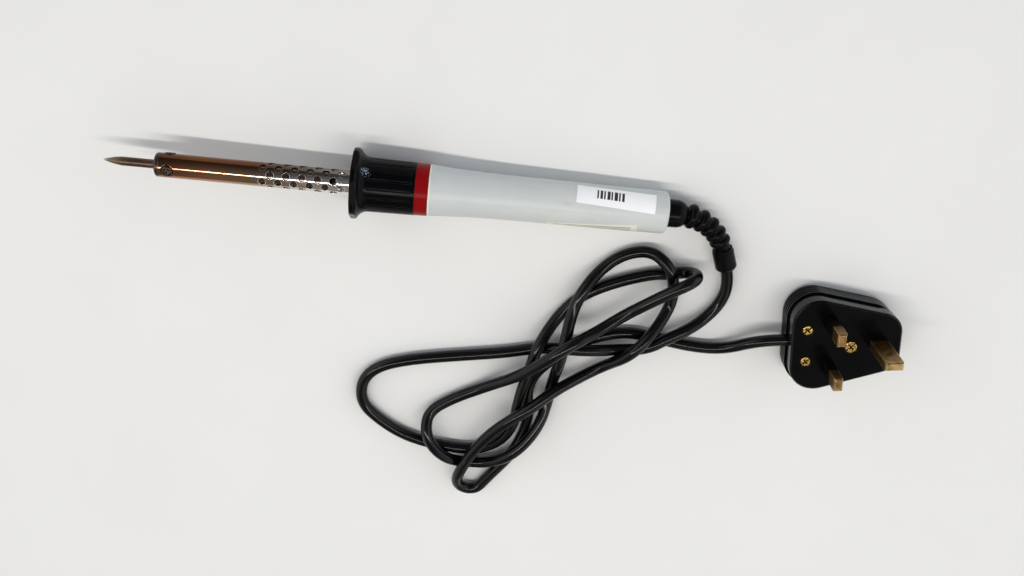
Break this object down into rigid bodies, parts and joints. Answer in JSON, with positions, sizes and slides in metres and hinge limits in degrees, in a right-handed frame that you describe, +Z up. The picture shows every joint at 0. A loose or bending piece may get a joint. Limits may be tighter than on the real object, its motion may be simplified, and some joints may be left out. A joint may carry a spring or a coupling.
{
  "type": "soldering iron",
  "caption": "Mains soldering iron: vented steel barrel and clamped round bit, ribbed front collar, red ring, tapered handle, cord strain relief, long flexible cord and fused three-pin plug.",
  "frame": {"origin": "middle of the iron's own bounding box, on the bench it lies on (the cord, strain relief and plug are left out of that box)", "axes": "+X along the iron from the handle to the tip, in plan; +Z up from the bench; +Y completes the right-handed set"},
  "size_m": [0.3633, 0.1793, 0.0417],
  "materials": {
    "bit_metal": "dull, heat-darkened plated copper, scratched along its length",
    "nose_steel": "dark, oxidised turned steel",
    "barrel_steel": "polished steel tube, heat-tinted bronze and brown towards the tip, silver near the collar",
    "screw_steel": "plated steel screw with light tarnish",
    "plain_steel": "plain turned steel",
    "heater_wire": "oxidised resistance wire",
    "ceramic_white": "matt white ceramic",
    "mica": "thin mica wrap",
    "collar_plastic": "satin black moulded plastic, ribbed",
    "ring_plastic": "semi-gloss deep red plastic",
    "handle_plastic": "satin pale grey-blue moulded plastic",
    "label_white": "satin white film label",
    "label_cream": "satin cream film label with fine ruled lines",
    "relief_rubber": "satin black rubber",
    "cord_sheath": "glossy black flexible PVC",
    "plug_plastic": "satin black moulded plastic",
    "plug_cover_plastic": "glossy black moulded plastic",
    "sleeve_plastic": "matt black insulating sleeve",
    "pin_brass": "aged brass, slightly brown, brighter at the bevelled ends",
    "brass_screw": "bright brass screw heads",
    "fuse_body": "glazed fuse body with end caps",
    "clamp_fibre": "brown fibre board",
    "core_insulation": "insulated cores"
  },
  "bodies": {
    "iron": {"asset_label": "label_white", "barrel": "barrel_steel", "barrel_flange": "plain_steel", "barrel_nose": "nose_steel", "cord": "cord_sheath", "cord_clamp": "clamp_fibre", "cord_clamp_screws": "plain_steel", "cord_inner": "cord_sheath", "core_wires": "core_insulation", "cover_screw": "brass_screw", "earth_lead": "plain_steel", "earth_pin": "pin_brass", "flange_screws": "plain_steel", "front_collar": "collar_plastic", "fuse": "fuse_body", "fuse_clips": "brass_screw", "grip_bar": "clamp_fibre", "grip_screws": "brass_screw", "handle_shell": "handle_plastic", "heater_former": "ceramic_white", "heater_leads": "heater_wire", "heater_winding": "heater_wire", "live_pin": "pin_brass", "live_pin_sleeve": "sleeve_plastic", "mica_sleeve": "mica", "neutral_pin": "pin_brass", "neutral_pin_sleeve": "sleeve_plastic", "pin_terminals": "brass_screw", "plug_base": "plug_plastic", "plug_cover": "plug_cover_plastic", "plug_tail": "cord_sheath", "plug_wires": "core_insulation", "rating_label": "label_cream", "rear_insulator": "ceramic_white", "red_ring": "ring_plastic", "strain_relief": "relief_rubber", "terminal_block": "ceramic_white", "terminal_screws": "brass_screw"},
    "soldering_tip": {"soldering_bit": "bit_metal"},
    "clamp_screw_a": {"clamp_screw_a": "screw_steel"},
    "clamp_screw_b": {"clamp_screw_b": "screw_steel"},
    "clamp_screw_c": {"clamp_screw_c": "screw_steel"}
  },
  "joints": [
    {"name": "tip_slide", "type": "slide", "parent": "iron", "child": "soldering_tip", "axis": [0.9992, 0, 0.0397], "range_m": [0, 0.045]},
    {"name": "clamp_screw_a_turn", "type": "hinge", "parent": "iron", "child": "clamp_screw_a", "pos_m": [0.09484, 0.00116, 0.02279], "axis": [-0.0385, 0.2368, 0.9708], "range_deg": [0, 500]},
    {"name": "clamp_screw_b_turn", "type": "hinge", "parent": "iron", "child": "clamp_screw_b", "pos_m": [0.09509, -0.0047, 0.01666], "axis": [0.0111, -0.9598, -0.2804], "range_deg": [0, 500]},
    {"name": "clamp_screw_c_turn", "type": "hinge", "parent": "iron", "child": "clamp_screw_c", "pos_m": [0.09517, 0.00354, 0.01465], "axis": [0.0274, 0.723, -0.6903], "range_deg": [0, 500]}
  ]
}
